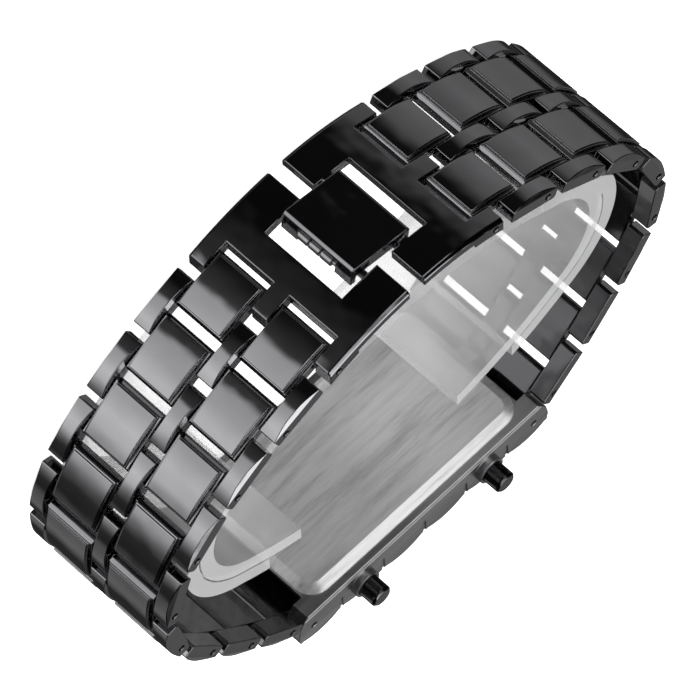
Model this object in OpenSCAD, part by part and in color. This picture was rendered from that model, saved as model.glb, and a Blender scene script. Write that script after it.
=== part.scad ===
// Bracelet watch with a closed case, laid on its side: +Z runs across the band,
// the case lies at -Y with its front towards -Y, the clasp at +Y.

/* [Band] */
// width of the whole band (mm)
band_width = 24; // [20:0.5:30]
// distance between neighbouring link pins along the band (mm)
pin_pitch = 4.87; // [4.6:0.01:5.2]
// thickness of a link over its ends (mm)
link_thickness = 2.2; // [2:0.1:2.6]
// width of a narrow link across the band (mm)
narrow_width = 2.6; // [2.2:0.1:3.2]
// free space between neighbouring columns (mm)
column_gap = 0.2; // [0.15:0.05:0.4]
// how far the arched top of a wide link stands above its ends (mm)
wide_rise = 0.5; // [0.3:0.05:0.6]
// height of the arched top of a narrow link over its body (mm)
narrow_rise = 0.45; // [0.3:0.05:0.6]
// radius of the arched top of a narrow link (mm)
narrow_arch = 11; // [10:0.5:16]
// how far a narrow link reaches past each pin (mm)
narrow_reach = 1.75; // [1.6:0.05:1.8]
// radius of the arched top of a wide link (mm)
wide_arch = 18; // [14:0.5:24]
// bevel round the raised top of a wide link (mm)
link_bevel = 0.2; // [0.1:0.05:0.3]
// how far the raised top of a wide link reaches past each pin (mm)
top_reach = 1.45; // [1.2:0.05:1.5]
// depth of that step under the body's top (mm)
step_drop = 0.3; // [0.2:0.05:0.4]
// how far the lower step shows past the raised top at each end (mm)
step_reach = 0.35; // [0.2:0.05:0.4]
// how far the lower step shows past the raised top at each side (mm)
step_side = 0.3; // [0.1:0.05:0.4]
// bevel along the top edges of a narrow link (mm)
narrow_bevel = 0.3; // [0.2:0.05:0.4]
// radius of a link pin (mm)
pin_radius = 0.5; // [0.4:0.05:0.6]
// running clearance of a link on its pin, on the radius (mm)
pin_clearance = 0.05; // [0.02:0.01:0.09]
// depth of the pin hole left open in the side of the band (mm)
pin_recess = 0.5; // [0.3:0.1:0.8]

/* [Clasp] */
// outer radius of the two curved clasp plates (mm)
plate_radius = 40; // [36:0.5:46]
// free gap between the two clasp plates (mm)
plate_gap = 2.5; // [2:0.1:4]
// thickness of the clasp plates (mm)
plate_thickness = 1.5; // [1.3:0.05:1.8]
// how far the nubs of a plate reach past the first pin (mm)
nub_reach = 1.35; // [1.2:0.05:1.5]
// bevel along the sides of a clasp plate (mm)
plate_bevel = 0.45; // [0.2:0.05:0.8]
// width of the window across the band (mm)
window_width = 13; // [12.6:0.1:14]
// half length of the window along the band (mm)
window_reach = 7.2; // [6.6:0.1:7.8]
// width of the flap across the band (mm)
flap_width = 11.7; // [10:0.1:12]
// length of the flap along the band (mm)
flap_length = 9.8; // [9:0.1:10.4]
// part of that length beyond the hinge (mm)
flap_heel = 1.5; // [1.2:0.1:1.7]
// height of the flap top above its hinge (mm)
flap_height = 1.55; // [1.4:0.05:1.9]
// thickness of the flap metal (mm)
flap_wall = 0.8; // [0.6:0.05:1]
// slope of the closed flap (degrees)
flap_slope = 10; // [6:0.5:12]
// depth of the front skirt of the flap (mm)
skirt_depth = 3; // [2.4:0.1:3.1]
// depth of the flap hinge under the top of the plates (mm)
hinge_drop = 1; // [1:0.05:1.2]
// bevel round the flap (mm)
flap_bevel = 0.35; // [0.2:0.05:0.5]
// place of the flap hinge from the middle (mm)
hinge_x = 3.3; // [3:0.1:3.8]
// radius of the flap hinge pin (mm)
hinge_radius = 0.6; // [0.5:0.05:0.7]
// running clearance of the flap on its pin, on the radius (mm)
hinge_clearance = 0.05; // [0.02:0.01:0.09]
// radius of the grip roller in the front skirt (mm)
roller_radius = 0.7; // [0.5:0.05:0.8]
// length of the grip roller (mm)
roller_length = 5.8; // [4:0.1:6.4]
// depth of the catch bar under the top of the plates (mm)
catch_drop = 2; // [1.9:0.05:2.2]
// place of the catch bar from the middle (mm)
catch_place = 2.6; // [2.2:0.1:3.2]
// length of each bar end held in a plate (mm)
bar_seat = 1.5; // [1:0.1:2]
// radius of the catch bar under the flap (mm)
catch_radius = 0.55; // [0.4:0.05:0.6]

/* [Case] */
// length of the case along the band (mm)
case_length = 45; // [43:0.5:48]
// thickness of the case from back edge to front notch (mm)
case_thickness = 5.5; // [5.5:0.1:6.5]
// height of the front waves above the notch (mm)
wave_rise = 0.75; // [0.4:0.05:1]
// number of waves along the front
wave_count = 6; // [6:1:6]
// width of the short seams at the wave notches (mm)
seam_width = 0.45; // [0.3:0.05:0.6]
// length of those seams behind the front notch (mm)
seam_length = 2.6; // [2:0.1:3.2]
// depth of those seams (mm)
seam_depth = 0.2; // [0.1:0.05:0.3]
// thickness of the case side walls (mm)
side_wall = 1.2; // [1:0.1:1.5]
// room between the case body and the end of the last wide link (mm)
tail_room = 0.95; // [0.8:0.05:1.2]
// thickness of the end walls of the chamber (mm)
end_wall = 0.8; // [0.6:0.1:1]
// depth of the end pins under the back edge (mm)
lug_depth = 3.4; // [3.3:0.05:3.6]
// distance of the end pins from the end of the case (mm)
lug_inset = 2.55; // [2.4:0.05:2.8]
// thickness of the back plate above the case edge (mm)
back_thickness = 0.9; // [0.7:0.1:1.2]
// height of the bevel round the back plate (mm)
back_bevel = 0.7; // [0.4:0.1:0.8]
// width of that bevel (mm)
back_slope = 1.3; // [0.8:0.1:1.6]
// corner radius of the back plate (mm)
back_corner = 3; // [2:0.2:4]
// distance of the back plate from the sides of the case (mm)
back_margin = 1.1; // [1:0.1:2]
// how far the back plate ends before the end pins (mm)
back_inset = 0.7; // [0.6:0.1:1.4]
// width of the light slits in the front (mm)
slit_width = 1; // [0.8:0.1:1.4]
// diameter of a coin cell (mm)
cell_diameter = 12.5; // [11.6:0.1:12.6]
// thickness of a coin cell (mm)
cell_thickness = 1.6; // [1.2:0.1:1.6]
// free space between the two coin cells (mm)
cell_gap = 2.3; // [1:0.1:3]
// clearance of a coin cell in its pocket, on the radius (mm)
cell_clearance = 0.1; // [0.05:0.05:0.2]
// width of the cell clip (mm)
clip_width = 3; // [2:0.1:4]

/* [Pushers] */
// radius of a pusher cap (mm)
cap_radius = 1.6; // [1.3:0.05:1.6]
// length of a pusher cap (mm)
cap_length = 2.9; // [2.4:0.1:3.4]
// wall of the short tubes that guide the caps (mm)
tube_wall = 0.35; // [0.3:0.05:0.4]
// height of those tubes on the case side (mm)
tube_height = 1; // [0.6:0.1:1.2]
// running clearance of a cap in its tube, on the radius (mm)
tube_clearance = 0.08; // [0.05:0.01:0.09]
// free travel of a pusher (mm)
pusher_travel = 0.6; // [0.4:0.05:0.6]
// radius of the pusher stem (mm)
stem_radius = 0.6; // [0.4:0.05:0.6]
// running clearance of the stem in the case, on the radius (mm)
stem_clearance = 0.05; // [0.02:0.01:0.09]
// depth of the pushers behind the front notch (mm)
pusher_depth = 2.15; // [2:0.05:2.6]
// free space between a pusher cap and the case, on top of its travel (mm)
cap_room = 0.1; // [0.05:0.05:0.3]

/* [Display cuff] */
// thickness of the inner layer of the clear cuff (mm)
inner_layer = 2.25; // [1.6:0.05:2.6]
// thickness of the outer layer of the clear cuff (mm)
outer_layer = 2.3; // [1.6:0.05:2.4]
// width of the seam between both layers (mm)
layer_seam = 0.25; // [0.2:0.05:0.4]
// depth of that seam in the near edge (mm)
layer_depth = 0.6; // [0.4:0.1:1]
// half length of the inside of the cuff (mm)
cuff_reach = 32.7; // [28:0.1:32.7]
// half height of the inside of the cuff (mm)
cuff_rise = 17; // [15:0.1:17]
// radius of the round ends inside the cuff (mm)
cuff_radius = 10.5; // [9:0.1:11]
// middle of the cuff along the case, towards -X (mm)
cuff_shift = 1.3; // [0.8:0.1:1.4]
// height of the cuff's middle over the end pins (mm)
cuff_place = 38.1; // [37.8:0.1:38.3]
// radius of the cuff's top, which follows the band (mm)
roof_radius = 46.7; // [46:0.1:46.7]
// height of the cuff's top over its middle (mm)
roof_rise = 20.9; // [20:0.1:20.9]
// end of the inner layer over the case back, towards -X (mm)
inner_end_l = 19.8; // [16:0.2:20]
// end of the inner layer over the case back, towards +X (mm)
inner_end_r = 7.8; // [6:0.2:12]
// how much earlier the outer layer ends towards -X (mm)
outer_end_l = 5.5; // [4:0.1:7]
// how much earlier the outer layer ends towards +X (mm)
outer_end_r = 9.8; // [8:0.1:11]
// distance of the cuff from the far side of the band (mm)
cuff_low = 0.8; // [0.5:0.1:2]
// distance of the cuff from the near side of the band (mm)
cuff_high = 1.5; // [0.5:0.1:3]

/* [Hidden] */
$fn = 64;
e = 0.01;
W = band_width;
p = pin_pitch;
r = link_thickness / 2;
nw = narrow_width;
ww = (W - 3 * nw - 4 * column_gap) / 2;
zn = [0, (W - nw) / 2, W - nw];
zw = [nw + column_gap, (W + nw) / 2 + column_gap];
// lie of each pin-to-pin step from the clasp (first) to the case (last), degrees
lie = [-20, -23, -28, -33, -38.5, -46, -56.5, -70, -85.5, -101, -115, -125,
       -129.5, -131.5, -134, -138, -140];
steps = 17;
lug_x = case_length / 2 - lug_inset;
// pins counted from the clasp, first measured from the end pin of the case
function pin_rel(i) = i == steps ? [lug_x, 0]
    : pin_rel(i + 1) - p * [cos(lie[i]), sin(lie[i])];
plate_mid = plate_radius - r;
plate_rel = pin_rel(0)[1] - sqrt(plate_mid * plate_mid - pin_rel(0)[0] * pin_rel(0)[0]);
flap_front = flap_heel - flap_length;
crest_rel = lug_depth - case_thickness - wave_rise;
lid_rel = plate_rel + plate_radius - hinge_drop
    - (flap_front + flap_bevel) * sin(flap_slope) + flap_height * cos(flap_slope);
lug_y = -(crest_rel + lid_rel) / 2;
function pin_at(i) = pin_rel(i) + [0, lug_y];
plate_pin = pin_at(0);
plate_y = plate_rel + lug_y;
back_y = lug_y + lug_depth;
front_y = back_y - case_thickness;
top_y = plate_y + plate_radius;
hinge_y = top_y - hinge_drop;
catch_x = -catch_place;
catch_y = top_y - catch_drop;
window_z = (W - window_width) / 2;
flap_z = (W - flap_width) / 2;
comb_x = plate_pin[0] - top_reach - step_reach - 0.65;
wave_pitch = case_length / wave_count;
chamber_z0 = side_wall;
chamber_z1 = W - side_wall;
inner_z0 = side_wall + 0.4;
inner_z1 = W - side_wall - pusher_travel - 1.05;
body_half = lug_x - top_reach - step_reach - tail_room;
chamber_length = 2 * (body_half - end_wall);
back_reach = lug_x - back_inset;
pusher_place = 1.5 * wave_pitch;
cell_place = (cell_diameter + cell_gap) / 2;
cell_z = (inner_z0 + inner_z1) / 2;
wall_y = front_y + 1.2;
pusher_y = front_y + pusher_depth;
cap_z = W + pusher_travel + cap_room;
cuff_y = lug_y + cuff_place;
cuff_z0 = cuff_low;
cuff_z1 = W - cuff_high;
cuff_c = cuff_reach - cuff_radius;
cuff_d = (cuff_c * cuff_c - pow(cuff_rise - cuff_radius, 2))
    / (2 * (cuff_rise - cuff_radius));

module at_step(i) {
    q = pin_at(i);
    translate([q[0], q[1], 0]) rotate([0, 0, lie[i]]) children();
}
module mirrored(left) {
    if (left) mirror([1, 0, 0]) children();
    else children();
}

// one wide link piece, pins at x = 0 and x = p, outside towards +y:
// a lower step all round and an arched, bevelled top on it
module wide_piece() {
    top = r + wide_rise;
    step_y = r - step_drop;
    x0 = -top_reach;
    x1 = p + top_reach;
    b = link_bevel;
    z0 = step_side;
    z1 = ww - step_side;
    difference() {
        union() {
            linear_extrude(height = ww)
                polygon([[x0, -r + 0.25], [x1, -r + 0.25], [x1 + step_reach, -r + 0.85],
                         [x1 + step_reach, step_y - 0.5], [x1 + 0.05, step_y],
                         [x0 - 0.05, step_y], [x0 - step_reach, step_y - 0.5],
                         [x0 - step_reach, -r + 0.85]]);
            for (in = [0, b]) intersection() {
                translate([p / 2, top - b + in - wide_arch, 0])
                    cylinder(r = wide_arch, h = ww, $fn = 160);
                translate([x0 + in, 0, z0 + in])
                    cube([x1 - x0 - 2 * in, top + 1, z1 - z0 - 2 * in]);
            }
        }
        for (x = [0, p]) translate([x, 0, -1])
            cylinder(r = pin_radius + pin_clearance, h = ww + 2, $fn = 40);
    }
}

// one narrow link piece: bar with an arched top, bevelled along its top edges
module narrow_piece() {
    top = r + narrow_rise;
    x0 = -narrow_reach;
    x1 = p + narrow_reach;
    b = narrow_bevel;
    intersection() {
        linear_extrude(height = nw)
            polygon([[x0, -r + 0.35], [x0 + 0.35, -r], [x1 - 0.35, -r], [x1, -r + 0.35],
                     [x1, r - 0.5], [x1 - 0.35, top], [x0 + 0.35, top], [x0, r - 0.5]]);
        translate([p / 2, top - narrow_arch, 0])
            cylinder(r = narrow_arch, h = nw, $fn = 160);
        translate([-4, 0, 0]) rotate([90, 0, 90]) linear_extrude(height = p + 8)
            polygon([[-r - 1, 0.2], [-r + 0.2, 0], [r - 0.35, 0], [top - 0.1, b], [top + 1, b],
                     [top + 1, nw - b], [top - 0.1, nw - b], [r - 0.35, nw], [-r + 0.2, nw],
                     [-r - 1, nw - 0.2]]);
    }
}

module wide_row(k, left) {
    color([0.13, 0.13, 0.14]) mirrored(left) at_step(2 * k)
        for (z = zw) translate([0, 0, z]) wide_piece();
}

module narrow_row(k, left) {
    color([0.16, 0.16, 0.17]) mirrored(left) at_step(2 * k - 1)
        difference() {
            union() {
                for (z = zn) translate([0, 0, z]) narrow_piece();
                for (x = [0, p]) translate([x, 0, nw / 2])
                    cylinder(r = pin_radius, h = W - nw, $fn = 40);
            }
            // open end of the removable pin, in the near side
            translate([p, 0, W - pin_recess])
                cylinder(r = pin_radius, h = 1 + pin_recess, $fn = 40);
        }
}

// curved ring that both clasp plates are cut from, bevelled along its sides
module plate_ring(t) {
    translate([0, plate_y, 0]) difference() {
        union() {
            cylinder(r1 = plate_radius - plate_bevel, r2 = plate_radius, h = plate_bevel,
                     $fn = 256);
            translate([0, 0, plate_bevel])
                cylinder(r = plate_radius, h = W - 2 * plate_bevel, $fn = 256);
            translate([0, 0, W - plate_bevel])
                cylinder(r1 = plate_radius, r2 = plate_radius - plate_bevel,
                         h = plate_bevel, $fn = 256);
        }
        translate([0, 0, -1])
            cylinder(r = plate_radius - t, h = W + 2, $fn = 256);
    }
}

// plate on the +X side; the other plate is its mirror image
module plate_body() {
    difference() {
        union() {
            intersection() {
                plate_ring(plate_thickness);
                translate([plate_gap / 2, plate_y, 0])
                    cube([comb_x - plate_gap / 2, plate_radius + 1, W]);
            }
            intersection() {
                plate_ring(link_thickness);
                for (z = zn) translate([comb_x - 1, plate_y, z])
                    cube([plate_pin[0] - comb_x + 1 + nub_reach, plate_radius + 1, nw]);
            }
            translate([plate_pin[0], plate_pin[1], nw / 2])
                cylinder(r = pin_radius, h = W - nw, $fn = 40);
        }
        translate([-1, plate_y, window_z])
            cube([window_reach + 1, plate_radius + 1, window_width]);
        translate([plate_pin[0], plate_pin[1], W - pin_recess])
            cylinder(r = pin_radius, h = 1 + pin_recess, $fn = 40);
    }
}

module plate_r() {
    color([0.12, 0.12, 0.13]) difference() {
        union() {
            plate_body();
            // bearings of the flap hinge
            intersection() {
                for (z = [window_z - bar_seat, W - window_z - 0.45])
                    translate([hinge_x, hinge_y, z]) cylinder(r = 1.1, h = bar_seat + 0.45);
                translate([0, plate_y, 0]) cylinder(r = plate_radius, h = W, $fn = 256);
            }
        }
        translate([hinge_x, hinge_y, window_z - bar_seat])
            cylinder(r = hinge_radius, h = window_width + 2 * bar_seat, $fn = 40);
    }
}

module plate_l() {
    color([0.12, 0.12, 0.13]) difference() {
        union() {
            mirror([1, 0, 0]) plate_body();
            // bearings of the catch bar
            for (z = [window_z - bar_seat, W - window_z]) {
                translate([catch_x, catch_y, z]) cylinder(r = 1.1, h = bar_seat);
                translate([catch_x - 1.1, catch_y, z]) cube([2.2, catch_drop - 0.6, bar_seat]);
            }
        }
        translate([catch_x, catch_y, window_z - bar_seat])
            cylinder(r = catch_radius, h = window_width + 2 * bar_seat, $fn = 40);
    }
}

module flap_pin() {
    color([0.45, 0.45, 0.46]) translate([hinge_x, hinge_y, window_z - bar_seat])
        cylinder(r = hinge_radius, h = window_width + 2 * bar_seat, $fn = 40);
}

module catch_bar() {
    color([0.45, 0.45, 0.46]) translate([catch_x, catch_y, window_z - bar_seat])
        cylinder(r = catch_radius, h = window_width + 2 * bar_seat, $fn = 40);
}

module in_flap() {
    translate([hinge_x, hinge_y, 0]) rotate([0, 0, -flap_slope]) children();
}

module flap() {
    t = flap_wall;
    skirt_y = flap_height - skirt_depth;
    b = flap_bevel;
    color([0.1, 0.1, 0.11]) in_flap() difference() {
        union() {
            // lid with bevelled rim
            intersection() {
                translate([flap_front, flap_height - t, flap_z])
                    cube([flap_length, t, flap_width]);
                linear_extrude(height = W)
                    polygon([[flap_front, -9], [flap_front, flap_height - b],
                             [flap_front + b, flap_height], [flap_heel - b, flap_height],
                             [flap_heel, flap_height - b], [flap_heel, -9]]);
            }
            // front skirt
            translate([flap_front, skirt_y, flap_z]) cube([t, skirt_depth - b, flap_width]);
            // side skirts with hinge ears
            for (z = [flap_z, W - flap_z - t]) {
                translate([flap_front, -0.3, z]) cube([flap_length, flap_height - b + 0.3, t]);
                translate([0, 0, z]) cylinder(r = 1.15, h = t);
            }
        }
        // cut-out that shows the grip roller
        translate([flap_front - 1, skirt_y - 1, (W - roller_length) / 2 - 0.25])
            cube([2 + t, 1 + skirt_depth - t - 0.1, roller_length + 0.5]);
        translate([0, 0, flap_z - 1])
            cylinder(r = hinge_radius + hinge_clearance, h = flap_width + 2, $fn = 40);
    }
}

// grip roller on a thin axle between the two halves of the front skirt
module grip_roller() {
    z0 = (W - roller_length) / 2;
    color([0.5, 0.5, 0.51]) in_flap() translate([flap_front + 0.2, -0.1, 0]) {
        for (i = [0 : 2]) translate([0, 0, z0 + i * roller_length / 3])
            cylinder(r = roller_radius, h = roller_length / 3 - 0.3);
        translate([0, 0, z0 - 0.25]) cylinder(r = 0.35, h = roller_length + 0.5, $fn = 32);
    }
}

// closed side outline of the case with its waves, drawn for both ends
module case_outline() {
    x1 = case_length / 2;
    polygon([[-x1 + 1.6, back_y], [x1 - 1.6, back_y], [x1 - 0.2, back_y - 2],
             [x1 + 0.15, back_y - 4], [x1 - 0.1, front_y], [-x1 + 0.1, front_y],
             [-x1 - 0.15, back_y - 4], [-x1 + 0.2, back_y - 2]]);
}

module wave_bar(z, h) {
    half = wave_pitch / 2 - 0.15;
    rise = wave_rise + 0.25;
    rad = (half * half + rise * rise) / (2 * rise);
    translate([0, 0, z]) for (i = [0 : wave_count - 1])
        intersection() {
            translate([(i - (wave_count - 1) / 2) * wave_pitch, front_y - wave_rise + rad, 0])
                cylinder(r = rad, h = h, $fn = 96);
            translate([(i - (wave_count - 1) / 2) * wave_pitch - half, front_y - 2, 0])
                cube([2 * half, 3, h]);
        }
}

module case_shell() {
    color([0.3, 0.3, 0.31]) difference() {
        union() {
            for (z = zn) {
                translate([0, 0, z]) linear_extrude(height = nw) case_outline();
                wave_bar(z, nw);
            }
            translate([-body_half, front_y + 0.25, 0])
                cube([2 * body_half, case_thickness - 0.25, W]);
            translate([-back_reach - 0.2, back_y - 0.9, 0])
                cube([2 * back_reach + 0.4, 0.9, W]);
            // guide tubes of the pusher caps
            for (s = [-1, 1]) translate([s * pusher_place, pusher_y, W - e]) difference() {
                cylinder(r = cap_radius + tube_clearance + tube_wall, h = tube_height + e);
                cylinder(r = cap_radius + tube_clearance, h = tube_height + 1);
            }
        }
        // main chamber, open to the back
        translate([-chamber_length / 2, wall_y, chamber_z0])
            cube([chamber_length, case_thickness, chamber_z1 - chamber_z0]);
        // front windows in the wide columns
        for (z = zw) translate([-chamber_length / 2 + 0.6, front_y - 1, z + 0.4])
            cube([chamber_length - 1.2, 3, ww - 0.8]);
        // pin holes at both ends
        for (s = [-1, 1]) translate([s * lug_x, lug_y, -1])
            cylinder(r = pin_radius, h = W + 2, $fn = 40);
        // thin edge lines in the near side
        translate([-case_length / 2 - 1, back_y - 0.75, W - 0.15])
            cube([case_length + 2, 0.15, 1]);
        // short seams at the wave notches, in both sides
        for (i = [1 : wave_count - 1]) for (z = [-1, W - seam_depth])
            translate([(i - wave_count / 2) * wave_pitch - seam_width / 2, front_y - 2, z])
                cube([seam_width, 2 + seam_length, 1 + seam_depth]);
        // pusher bores
        for (s = [-1, 1]) translate([s * pusher_place, pusher_y, chamber_z1 - 1])
            cylinder(r = stem_radius + stem_clearance, h = side_wall + 2, $fn = 40);
    }
}

// front insert: a plate behind the front wall with arched blocks in the windows
module front_blocks() {
    z0 = zw[0] + 0.45;
    zl = ww - 0.9;
    rad = 9;
    x1 = chamber_length / 2 - 0.65;
    color([0.12, 0.12, 0.13]) difference() {
        union() {
            translate([-chamber_length / 2 + 0.1, wall_y + e, inner_z0])
                cube([chamber_length - 0.2, 0.7, inner_z1 - inner_z0]);
            for (z = zw) for (i = [-2 : 2]) intersection() {
                translate([i * wave_pitch, front_y - wave_rise + 0.1 + rad, z + 0.45])
                    cylinder(r = rad, h = zl, $fn = 96);
                translate([max(-x1, (i - 0.5) * wave_pitch), front_y - 2, z + 0.45])
                    cube([min(x1, (i + 0.5) * wave_pitch) - max(-x1, (i - 0.5) * wave_pitch),
                          3.5, zl]);
            }
        }
        for (z = zw) for (i = [-1.5 : 1 : 1.5])
            translate([i * wave_pitch - slit_width / 2, front_y - 3, z + 0.9])
                cube([slit_width, 6, zl - 0.9]);
    }
}

module light_filter() {
    color([0.25, 0.05, 0.06]) translate([-chamber_length / 2 + 0.4, wall_y + 0.75, inner_z0 + 0.1])
        cube([chamber_length - 0.8, 0.35, inner_z1 - inner_z0 - 0.2]);
}

module leds() {
    color([0.9, 0.55, 0.5]) for (z = zw) for (i = [-1.5 : 1 : 1.5]) for (j = [0 : 2])
        translate([i * wave_pitch - 0.6, wall_y + 1.15, z + 1.2 + j * (ww - 3.4) / 2])
            cube([1.2, 0.45, 1]);
}

module led_board() {
    color([0.08, 0.25, 0.14]) difference() {
        translate([-chamber_length / 2 + 0.3, wall_y + 1.6, inner_z0 + 0.05])
            cube([chamber_length - 0.6, 0.5, inner_z1 - inner_z0 - 0.1]);
        for (s = [-1, 1]) translate([s * (chamber_length / 2 - 1.2), wall_y + 1, W / 2 - 2])
            rotate([-90, 0, 0]) cylinder(r = 0.5, h = 2, $fn = 32);
    }
}

module module_frame() {
    h = back_y - 0.62 - (wall_y + 2.15);
    color([0.2, 0.2, 0.22]) difference() {
        translate([-chamber_length / 2 + 0.2, wall_y + 2.15, inner_z0])
            cube([chamber_length - 0.4, h, inner_z1 - inner_z0]);
        for (s = [-1, 1]) translate([s * cell_place, wall_y + 2, cell_z]) rotate([-90, 0, 0])
            cylinder(r = cell_diameter / 2 + cell_clearance, h = 6, $fn = 96);
    }
}

module cell(s) {
    color([0.72, 0.73, 0.74]) translate([s * cell_place, wall_y + 2.2, cell_z])
        rotate([-90, 0, 0]) {
            cylinder(r = cell_diameter / 2 - 0.5, h = 0.3, $fn = 96);
            translate([0, 0, 0.3])
                cylinder(r = cell_diameter / 2, h = cell_thickness - 0.3, $fn = 96);
        }
}

module cell_clip() {
    y0 = wall_y + 2.2 + cell_thickness + 0.02;
    color([0.75, 0.7, 0.5]) difference() {
        translate([-cell_place - 5, y0, cell_z - clip_width / 2])
            cube([2 * cell_place + 10, 0.15, clip_width]);
        for (i = [-1 : 1]) translate([i * cell_place, y0 - 1, cell_z]) rotate([-90, 0, 0])
            cylinder(r = 0.8, h = 3, $fn = 32);
    }
}

module gasket() {
    c = chamber_length - 0.1;
    d = chamber_z1 - chamber_z0 - 0.1;
    color([0.06, 0.06, 0.06]) translate([-c / 2, back_y - 0.6, chamber_z0 + 0.05]) difference() {
        cube([c, 0.58, d]);
        translate([0.7, -1, 0.7]) cube([c - 1.4, 3, d - 1.4]);
    }
}

// brushed back plate with round corners and a bright bevel all round
module back_plate() {
    flat_h = back_thickness - back_bevel;
    w = back_slope;
    cx = back_reach - back_corner;
    z0 = back_margin;
    z1 = W - back_margin;
    color([0.75, 0.75, 0.76]) {
        for (sx = [-1, 1]) for (z = [z0 + back_corner, z1 - back_corner])
            translate([sx * cx, back_y, z]) rotate([-90, 0, 0]) {
                cylinder(r = back_corner, h = flat_h);
                translate([0, 0, flat_h])
                    cylinder(r1 = back_corner, r2 = back_corner - w, h = back_bevel);
            }
        translate([0, back_y, z0 + back_corner])
            linear_extrude(height = z1 - z0 - 2 * back_corner)
                polygon([[-back_reach, 0], [-back_reach, flat_h],
                         [-back_reach + w, back_thickness], [back_reach - w, back_thickness],
                         [back_reach, flat_h], [back_reach, 0]]);
        translate([-cx, back_y, 0]) rotate([90, 0, 90]) linear_extrude(height = 2 * cx)
            polygon([[0, z0], [flat_h, z0], [back_thickness, z0 + w], [back_thickness, z1 - w],
                     [flat_h, z1], [0, z1]]);
    }
}

module case_pin(left) {
    color([0.45, 0.45, 0.46]) mirrored(left) translate([lug_x, lug_y, pin_recess])
        cylinder(r = pin_radius, h = W - 2 * pin_recess, $fn = 40);
}

// hollow cap, stem and a retaining ring inside the case wall
module pusher(s) {
    color([0.1, 0.1, 0.11]) translate([s * pusher_place, pusher_y, 0]) {
        difference() {
            union() {
                translate([0, 0, cap_z]) cylinder(r = cap_radius, h = cap_length - 0.3);
                translate([0, 0, cap_z + cap_length - 0.3])
                    cylinder(r1 = cap_radius, r2 = cap_radius - 0.3, h = 0.3);
            }
            translate([0, 0, cap_z - 1]) cylinder(r = cap_radius - 0.3, h = 2.6);
        }
        translate([0, 0, chamber_z1 - 0.8])
            cylinder(r = stem_radius, h = cap_z + cap_length - 0.6 - chamber_z1 + 0.8, $fn = 40);
        translate([0, 0, chamber_z1 - 0.7]) cylinder(r = 0.95, h = 0.35);
    }
}

module pusher_spring(s) {
    color([0.6, 0.6, 0.6]) translate([s * pusher_place, pusher_y, W + 0.02]) difference() {
        union() for (i = [0 : 3]) translate([0, 0, i * 0.35]) {
            cylinder(r = cap_radius - 0.4, h = 0.22, $fn = 40);
            cylinder(r = cap_radius - 0.5, h = 0.36, $fn = 40);
        }
        translate([0, 0, -1]) cylinder(r = stem_radius + 0.1, h = 4, $fn = 40);
    }
}

// oval of four tangent arcs, made bigger by q all round
module cuff_oval(q) {
    h = sqrt(cuff_c * cuff_c + cuff_d * cuff_d);
    tx = cuff_c + (cuff_radius + q) * cuff_c / h;
    translate([-cuff_shift, cuff_y]) {
        intersection() {
            translate([0, cuff_d]) circle(r = cuff_rise + cuff_d + q, $fn = 360);
            translate([0, -cuff_d]) circle(r = cuff_rise + cuff_d + q, $fn = 360);
            translate([0.5 - tx, -cuff_rise - q - 1]) square([2 * tx - 1, 2 * (cuff_rise + q + 1)]);
        }
        for (s = [-1, 1]) translate([s * cuff_c, 0]) circle(r = cuff_radius + q + 0.1, $fn = 160);
    }
}

// clear open cuff of two layers that holds the loop in shape
module display_cuff() {
    wall = inner_layer + layer_seam + outer_layer;
    ends = inner_end_l + inner_end_r;
    color([0.85, 0.87, 0.9, 0.5]) difference() {
        translate([0, 0, cuff_z0]) linear_extrude(height = cuff_z1 - cuff_z0) difference() {
            intersection() {
                cuff_oval(wall);
                translate([0, cuff_y + roof_rise - roof_radius])
                    circle(r = roof_radius, $fn = 360);
            }
            cuff_oval(0);
        }
        // open part over the case back, wider in the outer layer
        translate([-inner_end_l, cuff_y - cuff_rise - wall - 1, -1])
            cube([ends, wall + 8, W + 2]);
        translate([0, 0, -1]) linear_extrude(height = W + 2) difference() {
            translate([-inner_end_l - outer_end_l, cuff_y - cuff_rise - wall - 1])
                square([ends + outer_end_l + outer_end_r, cuff_rise]);
            cuff_oval(inner_layer + layer_seam / 2);
        }
        // seam between the layers
        translate([0, 0, cuff_z1 - layer_depth]) linear_extrude(height = 3) intersection() {
            difference() {
                cuff_oval(inner_layer + layer_seam);
                cuff_oval(inner_layer);
            }
            translate([-60, cuff_y - 40]) square([120, 42]);
        }
    }
}

wide_row(0, false);  // wide_r0
narrow_row(1, false);  // narrow_r1
wide_row(1, false);  // wide_r1
narrow_row(2, false);  // narrow_r2
wide_row(2, false);  // wide_r2
narrow_row(3, false);  // narrow_r3
wide_row(3, false);  // wide_r3
narrow_row(4, false);  // narrow_r4
wide_row(4, false);  // wide_r4
narrow_row(5, false);  // narrow_r5
wide_row(5, false);  // wide_r5
narrow_row(6, false);  // narrow_r6
wide_row(6, false);  // wide_r6
narrow_row(7, false);  // narrow_r7
wide_row(7, false);  // wide_r7
narrow_row(8, false);  // narrow_r8
wide_row(8, false);  // wide_r8
wide_row(0, true);  // wide_l0
narrow_row(1, true);  // narrow_l1
wide_row(1, true);  // wide_l1
narrow_row(2, true);  // narrow_l2
wide_row(2, true);  // wide_l2
narrow_row(3, true);  // narrow_l3
wide_row(3, true);  // wide_l3
narrow_row(4, true);  // narrow_l4
wide_row(4, true);  // wide_l4
narrow_row(5, true);  // narrow_l5
wide_row(5, true);  // wide_l5
narrow_row(6, true);  // narrow_l6
wide_row(6, true);  // wide_l6
narrow_row(7, true);  // narrow_l7
wide_row(7, true);  // wide_l7
narrow_row(8, true);  // narrow_l8
wide_row(8, true);  // wide_l8
plate_r();
plate_l();
flap();
flap_pin();
grip_roller();
catch_bar();
case_shell();
front_blocks();
light_filter();
leds();
led_board();
module_frame();
cell(1);  // cell_r
cell(-1);  // cell_l
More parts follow.
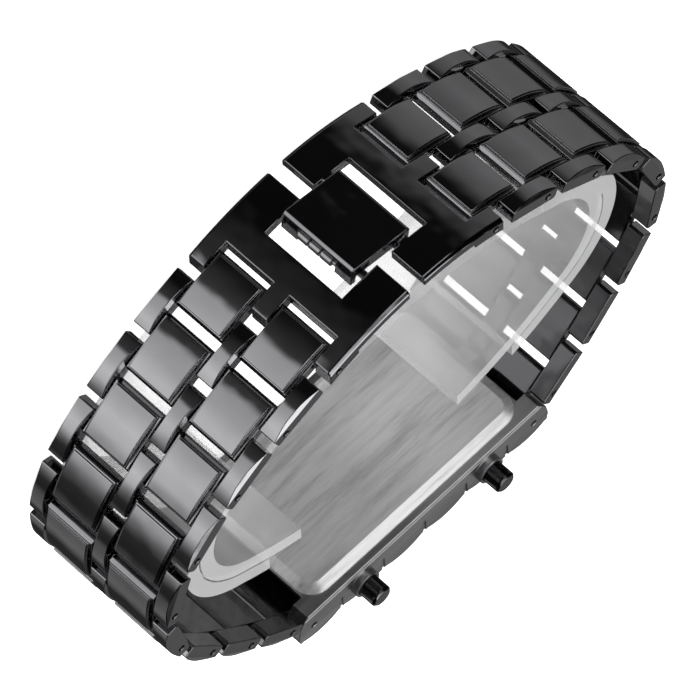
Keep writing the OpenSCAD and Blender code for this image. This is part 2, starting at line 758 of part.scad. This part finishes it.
cell_clip();
gasket();
back_plate();
case_pin(false);  // case_pin_r
case_pin(true);  // case_pin_l
pusher(1);  // pusher_r
pusher(-1);  // pusher_l
pusher_spring(1);  // spring_r
pusher_spring(-1);  // spring_l
display_cuff();
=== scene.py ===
import bpy
import math
from mathutils import Matrix, Vector

# Lengths are in metres and angles in degrees. A noise scale is in waves per metre.

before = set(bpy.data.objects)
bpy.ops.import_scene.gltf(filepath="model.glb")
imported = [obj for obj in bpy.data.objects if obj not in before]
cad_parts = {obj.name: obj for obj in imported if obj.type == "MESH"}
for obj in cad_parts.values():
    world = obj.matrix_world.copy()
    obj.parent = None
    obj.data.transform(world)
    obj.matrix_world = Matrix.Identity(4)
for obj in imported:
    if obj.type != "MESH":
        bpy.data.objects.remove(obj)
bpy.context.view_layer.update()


# Node helpers
MIX_FACTOR = 0
MIX_FIRST = 6
MIX_SECOND = 7
MIX_RESULT = 2
NEW_STOP = 0.5
BEVEL_SAMPLES = 16


def new_material(name):
    """material with one principled shader, returned with its node tree and the shader"""
    material = bpy.data.materials.new(name)
    material.use_nodes = True
    tree = material.node_tree
    tree.nodes.clear()
    output = tree.nodes.new("ShaderNodeOutputMaterial")
    shader = tree.nodes.new("ShaderNodeBsdfPrincipled")
    tree.links.new(shader.outputs[0], output.inputs[0])
    return material, tree, shader


def feed(tree, socket, value):
    """link a socket to another node's output, or give it a fixed value"""
    if isinstance(value, bpy.types.NodeSocket):
        tree.links.new(value, socket)
    else:
        socket.default_value = value


def coordinates(tree, scale=(1, 1, 1)):
    """the piece's own coordinates, which move with it, times a scale"""
    source = tree.nodes.new("ShaderNodeTexCoord")
    mapping = tree.nodes.new("ShaderNodeMapping")
    mapping.inputs["Scale"].default_value = scale
    tree.links.new(source.outputs["Object"], mapping.inputs[0])
    return mapping.outputs[0]


def noise(tree, place, scale, detail, rough=0.55):
    """soft noise around 0.5"""
    node = tree.nodes.new("ShaderNodeTexNoise")
    node.inputs["Scale"].default_value = scale
    node.inputs["Detail"].default_value = detail
    node.inputs["Roughness"].default_value = rough
    tree.links.new(place, node.inputs["Vector"])
    return node.outputs["Fac"]


def ramp(tree, factor, stops):
    """colour ramp through stops of position and colour"""
    node = tree.nodes.new("ShaderNodeValToRGB")
    elements = node.color_ramp.elements
    while len(elements) < len(stops):
        elements.new(NEW_STOP)
    for element, (position, colour) in zip(elements, stops):
        element.position = position
        element.color = (*colour, 1)
    tree.links.new(factor, node.inputs[0])
    return node.outputs[0]


def shades(tree, factor, colour, stops):
    """colour ramp through shades of one colour, with stops of position and brightness"""
    coloured = [(position, [min(1, c * level) for c in colour]) for position, level in stops]
    return ramp(tree, factor, coloured)


def map_range(tree, value, from_low, from_high, to_low, to_high, smooth=False):
    """carry a value over from one range to another, held at its ends"""
    node = tree.nodes.new("ShaderNodeMapRange")
    if smooth:
        node.interpolation_type = "SMOOTHSTEP"
    for socket, number in zip(node.inputs[1:5], (from_low, from_high, to_low, to_high)):
        socket.default_value = number
    tree.links.new(value, node.inputs[0])
    return node.outputs[0]


def math_node(tree, operation, *values):
    """result of a calculation with numbers or sockets"""
    node = tree.nodes.new("ShaderNodeMath")
    node.operation = operation
    for socket, value in zip(node.inputs, values):
        feed(tree, socket, value)
    return node.outputs[0]


def vector_node(tree, operation, *values):
    """result of a calculation with vectors: a number for a dot product, else a vector"""
    node = tree.nodes.new("ShaderNodeVectorMath")
    node.operation = operation
    for socket, value in zip(node.inputs, values):
        feed(tree, socket, value)
    return node.outputs["Value" if operation == "DOT_PRODUCT" else "Vector"]


def axes(tree, vector):
    """x, y and z of a vector"""
    node = tree.nodes.new("ShaderNodeSeparateXYZ")
    tree.links.new(vector, node.inputs[0])
    return node.outputs


def mixed(tree, factor, first, second):
    """first colour where the factor is 0 and second colour where it is 1"""
    node = tree.nodes.new("ShaderNodeMix")
    node.data_type = "RGBA"
    tree.links.new(factor, node.inputs[MIX_FACTOR])
    tree.links.new(first, node.inputs[MIX_FIRST])
    node.inputs[MIX_SECOND].default_value = (*second, 1)
    return node.outputs[MIX_RESULT]


def rounded_edges(tree, radius):
    """normal that turns over the edges, so that they catch a thin line of light"""
    node = tree.nodes.new("ShaderNodeBevel")
    node.samples = BEVEL_SAMPLES
    node.inputs["Radius"].default_value = radius
    return node.outputs[0]


def relief(tree, shader, height, strength, distance, normal=None):
    """fine relief on the surface, on top of another normal if one is given"""
    node = tree.nodes.new("ShaderNodeBump")
    node.inputs["Strength"].default_value = strength
    node.inputs["Distance"].default_value = distance
    tree.links.new(height, node.inputs["Height"])
    if normal is not None:
        tree.links.new(normal, node.inputs["Normal"])
    tree.links.new(node.outputs[0], shader.inputs["Normal"])


# Black plated steel, with painted shade on the faces inside the loop
PLATE_COLOUR = (0.30, 0.30, 0.31)
PLATE_ROUGH = 0.08
PLATE_EDGE = 0.0002
NARROW_EDGE = 0.00022
CLASP_COLOUR = (0.24, 0.24, 0.25)
CLASP_ROUGH = 0.06
CLASP_EDGE = 0.0003
CLASP_WAVINESS = 0.9
PLATE_WAVINESS = 0.4
PLATE_WEAR = 0.03
PLATE_SHADES = ((0.35, 0.93), (0.65, 1.07))
PLATE_CLOUDS = 90
PLATE_GRAIN = 900
PLATE_WAVES = 230
PLATE_WAVE_HEIGHT = 0.0002
GRAIN_LOW = 0.35
GRAIN_HIGH = 0.75
LOOP_MID = (-0.0013, 0.006, 0.0)
LOOP_PLANE = (1, 1, 0)
INNER_SHADE_START = -0.35
INNER_SHADE_FULL = -0.65
# painted shade: brightness of the colour on the faces inside the loop
INNER_PAINTED_SHADE = 0.3


def inside_faces_shade_mask(tree):
    """1 on faces that look at the middle of the loop, where painted shade darkens the colour, 0 on the
    faces outside
    """
    source = tree.nodes.new("ShaderNodeTexCoord")
    offset = vector_node(tree, "SUBTRACT", source.outputs["Object"], LOOP_MID)
    flat = vector_node(tree, "MULTIPLY", offset, LOOP_PLANE)
    outwards = vector_node(tree, "NORMALIZE", flat)
    facing = vector_node(tree, "DOT_PRODUCT", outwards, source.outputs["Normal"])
    return map_range(tree, facing, INNER_SHADE_START, INNER_SHADE_FULL, 0, 1)


def plated(name, colour=PLATE_COLOUR, rough=PLATE_ROUGH, edge=PLATE_EDGE, waviness=PLATE_WAVINESS):
    """black plated, polished steel: rounded edges, polishing waves, painted shade darkening the faces
    inside the loop
    """
    material, tree, shader = new_material(name)
    place = coordinates(tree)
    clouds = noise(tree, place, PLATE_CLOUDS, detail=3)
    grain = noise(tree, place, PLATE_GRAIN, detail=4)
    waves = noise(tree, place, PLATE_WAVES, detail=1)
    outer = shades(tree, clouds, colour, PLATE_SHADES)
    # painted shade: a darker copy of the colour for the faces inside the loop, which lie in shadow
    inner = [c * INNER_PAINTED_SHADE for c in colour]
    dullness = map_range(tree, grain, GRAIN_LOW, GRAIN_HIGH, rough, rough + PLATE_WEAR)
    feed(tree, shader.inputs["Base Color"], mixed(tree, inside_faces_shade_mask(tree), outer, inner))
    feed(tree, shader.inputs["Metallic"], 1.0)
    feed(tree, shader.inputs["Roughness"], dullness)
    relief(tree, shader, waves, waviness, PLATE_WAVE_HEIGHT, rounded_edges(tree, edge))
    return material


# Brushed steel and brass: the noise is stretched along the lines by a scale for each axis
BRUSH_EDGE = 0.0001
BRUSH_DEPTH = 0.25
BRUSH_LINE_HEIGHT = 0.00006
BRUSH_ROUGH_SPAN = 0.12
BRUSH_SHADES = ((0.38, 0.66), (0.5, 1), (0.62, 1.22))
BRUSH_BASE_SCALE = 1.0
BRUSH_LONG_STRETCH = 0.22
BRUSH_HALF_SHARE = 0.5
NOISE_LOW = 0.3
NOISE_HIGH = 0.7


def brushed(name, colour, rough, scale, edge=BRUSH_EDGE, metallic=1.0, depth=BRUSH_DEPTH):
    """metal with brush lines, fine ones and long ones in equal parts"""
    material, tree, shader = new_material(name)
    fine = noise(tree, coordinates(tree, scale), BRUSH_BASE_SCALE, detail=5, rough=0.7)
    long_scale = [s * BRUSH_LONG_STRETCH for s in scale]
    long = noise(tree, coordinates(tree, long_scale), BRUSH_BASE_SCALE, detail=3, rough=0.6)
    half_long = math_node(tree, "MULTIPLY", long, BRUSH_HALF_SHARE)
    lines = math_node(tree, "MULTIPLY_ADD", fine, BRUSH_HALF_SHARE, half_long)
    half_span = BRUSH_ROUGH_SPAN / 2
    dullness = map_range(tree, lines, NOISE_LOW, NOISE_HIGH, rough - half_span, rough + half_span)
    feed(tree, shader.inputs["Base Color"], shades(tree, lines, colour, BRUSH_SHADES))
    feed(tree, shader.inputs["Metallic"], metallic)
    feed(tree, shader.inputs["Roughness"], dullness)
    relief(tree, shader, lines, depth, BRUSH_LINE_HEIGHT, rounded_edges(tree, edge))
    return material


# Moulded, lacquered and rubber pieces
PLASTIC_GRAIN = 700
PLASTIC_RELIEF = 0.05
PLASTIC_RELIEF_HEIGHT = 0.0001
PLASTIC_CONTRAST = 0.12
PLASTIC_SHADES = ((NOISE_LOW, 1 - PLASTIC_CONTRAST), (NOISE_HIGH, 1 + PLASTIC_CONTRAST))
PLASTIC_SMOOTHER = 0.05
PLASTIC_ROUGHER = 0.07


def plastic(name, colour, rough, strength=PLASTIC_RELIEF):
    """plastic, lacquer or rubber with a fine grain"""
    material, tree, shader = new_material(name)
    grain = noise(tree, coordinates(tree), PLASTIC_GRAIN, detail=4)
    least = rough - PLASTIC_SMOOTHER
    most = rough + PLASTIC_ROUGHER
    dullness = map_range(tree, grain, NOISE_LOW, NOISE_HIGH, least, most)
    feed(tree, shader.inputs["Base Color"], shades(tree, grain, colour, PLASTIC_SHADES))
    feed(tree, shader.inputs["Roughness"], dullness)
    relief(tree, shader, grain, strength, PLASTIC_RELIEF_HEIGHT)
    return material


# Clear cuff: its sawn edges are denser and get a painted highlight, a brighter tint, and it is clearest
# under the clasp
CUFF_FLOW_STRETCH = (60, 60, 25)
CUFF_FLOW_SCALE = 1.6
CUFF_FLOW_HEIGHT = 0.0006
CUFF_FLOW_STRENGTH = 0.2
CUFF_TINT = (0.62, 0.62, 0.625)
CUFF_SHADES = ((0.3, 0.85), (0.5, 1), (0.72, 1.25))
CUFF_RIM_HIGHLIGHT_TINT = (0.66, 0.66, 0.665)
CUFF_RIM_START = 0.4
CUFF_RIM_FULL = 0.8
CUFF_ALPHA = 0.38
CUFF_RIM_ALPHA = 0.6
CUFF_TOP_ALPHA_SHARE = 0.3
CUFF_TOP_HALF_WIDTH = 0.016
CUFF_SIDE_HALF_WIDTH = 0.030
CUFF_TOP_HEIGHT = 0.020
CUFF_BELOW_TOP_HEIGHT = 0.012
CUFF_ROUGH = 0.06
CUFF_ROUGH_SPAN = 0.1
CUFF_IOR = 1.49


def cuff_rim(tree):
    """1 on the sawn edges, which look along the width of the band, 0 on the curved faces"""
    geometry = tree.nodes.new("ShaderNodeNewGeometry")
    sideways = math_node(tree, "ABSOLUTE", axes(tree, geometry.outputs["True Normal"])[2])
    return map_range(tree, sideways, CUFF_RIM_START, CUFF_RIM_FULL, 0, 1)


def cuff_away_from_clasp(tree):
    """0 at the top of the loop, under the clasp, and 1 at its sides and below"""
    place = axes(tree, coordinates(tree))
    across = math_node(tree, "ABSOLUTE", place[0])
    beside = map_range(tree, across, CUFF_TOP_HALF_WIDTH, CUFF_SIDE_HALF_WIDTH, 0, 1)
    below = map_range(tree, place[1], CUFF_TOP_HEIGHT, CUFF_BELOW_TOP_HEIGHT, 0, 1)
    return math_node(tree, "MAXIMUM", beside, below)


def clear_cuff(name):
    """clear moulded plastic with flow marks, and a painted highlight on its sawn edges"""
    material, tree, shader = new_material(name)
    flow = noise(tree, coordinates(tree, CUFF_FLOW_STRETCH), CUFF_FLOW_SCALE, detail=2)
    rim = cuff_rim(tree)
    body = shades(tree, flow, CUFF_TINT, CUFF_SHADES)
    density = map_range(tree, rim, 0, 1, CUFF_ALPHA, CUFF_RIM_ALPHA)
    share = map_range(tree, cuff_away_from_clasp(tree), 0, 1, CUFF_TOP_ALPHA_SHARE, 1)
    dullness = map_range(tree, flow, NOISE_LOW, NOISE_HIGH, CUFF_ROUGH, CUFF_ROUGH + CUFF_ROUGH_SPAN)
    # painted highlight: the sawn edges get a brighter tint than the body of the cuff
    feed(tree, shader.inputs["Base Color"], mixed(tree, rim, body, CUFF_RIM_HIGHLIGHT_TINT))
    feed(tree, shader.inputs["Alpha"], math_node(tree, "MULTIPLY", density, share))
    feed(tree, shader.inputs["Roughness"], dullness)
    feed(tree, shader.inputs["IOR"], CUFF_IOR)
    relief(tree, shader, flow, CUFF_FLOW_STRENGTH, CUFF_FLOW_HEIGHT)
    return material


# Materials of the pieces
plated_link = plated("plated_link")
plated_narrow = plated("plated_narrow", edge=NARROW_EDGE)
plated_clasp = plated("plated_clasp", CLASP_COLOUR, CLASP_ROUGH, CLASP_EDGE, CLASP_WAVINESS)
case_side = brushed("case_side", colour=(0.52, 0.52, 0.525), rough=0.3, scale=(70, 1100, 1100),
                    edge=0.00025, depth=0.15)
back_brushed = brushed("back_brushed", colour=(0.86, 0.86, 0.865), rough=0.38, scale=(90, 1000, 1000),
                       metallic=0.75)
pin_steel = brushed("pin_steel", colour=(0.42, 0.42, 0.43), rough=0.28, scale=(900, 900, 120))
roller_steel = brushed("roller_steel", colour=(0.36, 0.36, 0.37), rough=0.35, scale=(900, 900, 200))
cell_steel = brushed("cell_steel", colour=(0.7, 0.7, 0.7), rough=0.3, scale=(500, 60, 500))
clip_brass = brushed("clip_brass", colour=(0.72, 0.58, 0.32), rough=0.32, scale=(60, 500, 500))
filter_tint = plastic("filter_tint", colour=(0.06, 0.012, 0.014), rough=0.08, strength=0.02)
led_resin = plastic("led_resin", colour=(0.72, 0.55, 0.5), rough=0.25)
board_lacquer = plastic("board_lacquer", colour=(0.02, 0.10, 0.045), rough=0.35)
frame_moulded = plastic("frame_moulded", colour=(0.07, 0.07, 0.075), rough=0.5)
seal_rubber = plastic("seal_rubber", colour=(0.015, 0.015, 0.015), rough=0.65)
cuff_clear = clear_cuff("cuff_clear")

MATERIALS = {
    "plate_r": plated_clasp,
    "plate_l": plated_clasp,
    "flap": plated_clasp,
    "pusher_r": plated_clasp,
    "pusher_l": plated_clasp,
    "flap_pin": pin_steel,
    "catch_bar": pin_steel,
    "case_pin_r": pin_steel,
    "case_pin_l": pin_steel,
    "spring_r": pin_steel,
    "spring_l": pin_steel,
    "grip_roller": roller_steel,
    "case_shell": case_side,
    "front_blocks": plated_link,
    "back_plate": back_brushed,
    "light_filter": filter_tint,
    "leds": led_resin,
    "led_board": board_lacquer,
    "module_frame": frame_moulded,
    "cell_r": cell_steel,
    "cell_l": cell_steel,
    "cell_clip": clip_brass,
    "gasket": seal_rubber,
    "display_cuff": cuff_clear,
}
ROW_MATERIALS = {
    "wide": plated_link,
    "narrow": plated_narrow,
}


def dress(name, material):
    """give a piece its material, in every slot that it has"""
    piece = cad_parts[name]
    if not piece.material_slots:
        piece.data.materials.append(material)
    for slot in piece.material_slots:
        slot.material = material


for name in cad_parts:
    row_kind = name.split("_")[0]
    dress(name, ROW_MATERIALS.get(row_kind) or MATERIALS[name])

# Camera, solved from points of the photo
CAMERA_AT = Vector((-0.27364, 0.745655, 0.30748))
CAMERA_RIGHT = Vector((0.70292, -0.02404, 0.71086))
CAMERA_BACK = Vector((-0.32277, 0.87982, 0.34892))
FOCAL_PIXELS = 6842.9
PHOTO_PIXELS = 700
SENSOR_MM = 36
CLIP_NEAR = 0.05
CLIP_FAR = 20


def make_camera():
    """the photo's camera, with its three directions squared to each other"""
    back = CAMERA_BACK.normalized()
    up = back.cross(CAMERA_RIGHT.normalized()).normalized()
    right = up.cross(back).normalized()
    data = bpy.data.cameras.new("view_camera")
    camera = bpy.data.objects.new("view_camera", data)
    bpy.context.scene.collection.objects.link(camera)
    turned = Matrix((right, up, back)).transposed()
    camera.matrix_world = Matrix.Translation(CAMERA_AT) @ turned.to_4x4()
    data.sensor_width = SENSOR_MM
    data.lens = SENSOR_MM * FOCAL_PIXELS / PHOTO_PIXELS
    data.clip_start = CLIP_NEAR
    data.clip_end = CLIP_FAR
    return camera


bpy.context.scene.camera = make_camera()

# Floor: a hair below the part and bright, as the photo's background, but not seen in the polished steel
FLOOR_HALF = 3.0
FLOOR_HEIGHT = -0.00002
FLOOR_GREY = (0.85, 0.85, 0.85, 1)
FLOOR_ROUGH = 0.9
FLOOR_GLOW = 0.9
WHITE = (1, 1, 1, 1)


def make_floor():
    """flat square floor"""
    h = FLOOR_HALF
    mesh = bpy.data.meshes.new("floor")
    mesh.from_pydata([(-h, -h, 0), (h, -h, 0), (h, h, 0), (-h, h, 0)], [], [(0, 1, 2, 3)])
    plane = bpy.data.objects.new("floor", mesh)
    bpy.context.scene.collection.objects.link(plane)
    plane.location.z = FLOOR_HEIGHT
    material, tree, shader = new_material("floor_pale")
    feed(tree, shader.inputs["Base Color"], FLOOR_GREY)
    feed(tree, shader.inputs["Roughness"], FLOOR_ROUGH)
    feed(tree, shader.inputs["Emission Color"], WHITE)
    feed(tree, shader.inputs["Emission Strength"], FLOOR_GLOW)
    mesh.materials.append(material)
    plane.visible_glossy = False
    return plane


floor = make_floor()

# Studio light: azimuths go from +X towards +Y
# Each soft box has its azimuth, elevation, half angle, width of its soft edge, and power
SOFT_BOXES = (
    (-70, 84, 22, 10, 2.6),
    (-70, 20, 24, 14, 0.18),
    (67, 34, 12, 10, 1.5),
)
# The ring is the light from below the horizon, with stops of azimuth and level
HALF_TURN = 180
FULL_TURN = 360
RING = (
    (-180, 0.2), (-174, 0.06), (-160, 0.04), (-150, 0.2), (-124, 0.3), (-112, 0.04), (-40, 0.02),
    (-27, 0.22), (10, 0.32), (34, 0.2), (46, 0.01), (88, 0.006), (98, 0.05), (110, 0.09), (115, 0.9),
    (129, 1.05), (146, 1.5), (160, 1.3), (175, 0.4), (180, 0.2),
)
RING_TOP = 0.02
RING_FULL = -0.08
SKY_LEVEL = 0.004
KEY_AT = (-0.25, 0.1, 0.6)
KEY_TARGET = (0, 0, 0.01)
KEY_SIZE = 0.3
KEY_POWER = 3.0


def soft_box(tree, direction, azimuth, elevation, half, soft, power):
    """round soft box in the sky"""
    a = math.radians(azimuth)
    e = math.radians(elevation)
    middle = (math.cos(a) * math.cos(e), math.sin(a) * math.cos(e), math.sin(e))
    nearness = vector_node(tree, "DOT_PRODUCT", direction, middle)
    outer = math.cos(math.radians(half + soft))
    inner = math.cos(math.radians(half))
    return map_range(tree, nearness, outer, inner, 0, power, smooth=True)


def light_ring(tree, direction):
    """light from below, which changes with the azimuth and fades out at the horizon"""
    x, y, z = axes(tree, direction)
    turns = math_node(tree, "DIVIDE", math_node(tree, "ARCTAN2", y, x), 2 * math.pi)
    place = math_node(tree, "ADD", turns, HALF_TURN / FULL_TURN)
    stops = [((azimuth + HALF_TURN) / FULL_TURN, (level, level, level)) for azimuth, level in RING]
    brightness = ramp(tree, place, stops)
    below = map_range(tree, z, RING_TOP, RING_FULL, 0, 1, smooth=True)
    return math_node(tree, "MULTIPLY", brightness, below)


def make_world():
    """white light of the ring, the soft boxes and a faint sky"""
    world = bpy.data.worlds.new("studio")
    world.use_nodes = True
    tree = world.node_tree
    tree.nodes.clear()
    output = tree.nodes.new("ShaderNodeOutputWorld")
    background = tree.nodes.new("ShaderNodeBackground")
    tree.links.new(background.outputs[0], output.inputs[0])
    direction = tree.nodes.new("ShaderNodeTexCoord").outputs["Generated"]
    total = light_ring(tree, direction)
    for box in SOFT_BOXES:
        total = math_node(tree, "ADD", total, soft_box(tree, direction, *box))
    total = math_node(tree, "ADD", total, SKY_LEVEL)
    feed(tree, background.inputs["Strength"], total)
    feed(tree, background.inputs["Color"], WHITE)
    return world


def make_key_light():
    """square light high up on the side of -X, not seen in the polished steel"""
    data = bpy.data.lights.new("key_light", "AREA")
    data.energy = KEY_POWER
    data.size = KEY_SIZE
    light = bpy.data.objects.new("key_light", data)
    bpy.context.scene.collection.objects.link(light)
    light.location = KEY_AT
    light.rotation_euler = (Vector(KEY_TARGET) - Vector(KEY_AT)).to_track_quat("-Z", "Y").to_euler()
    light.visible_glossy = False


bpy.context.scene.world = make_world()
make_key_light()
bpy.context.scene.view_settings.view_transform = "Standard"
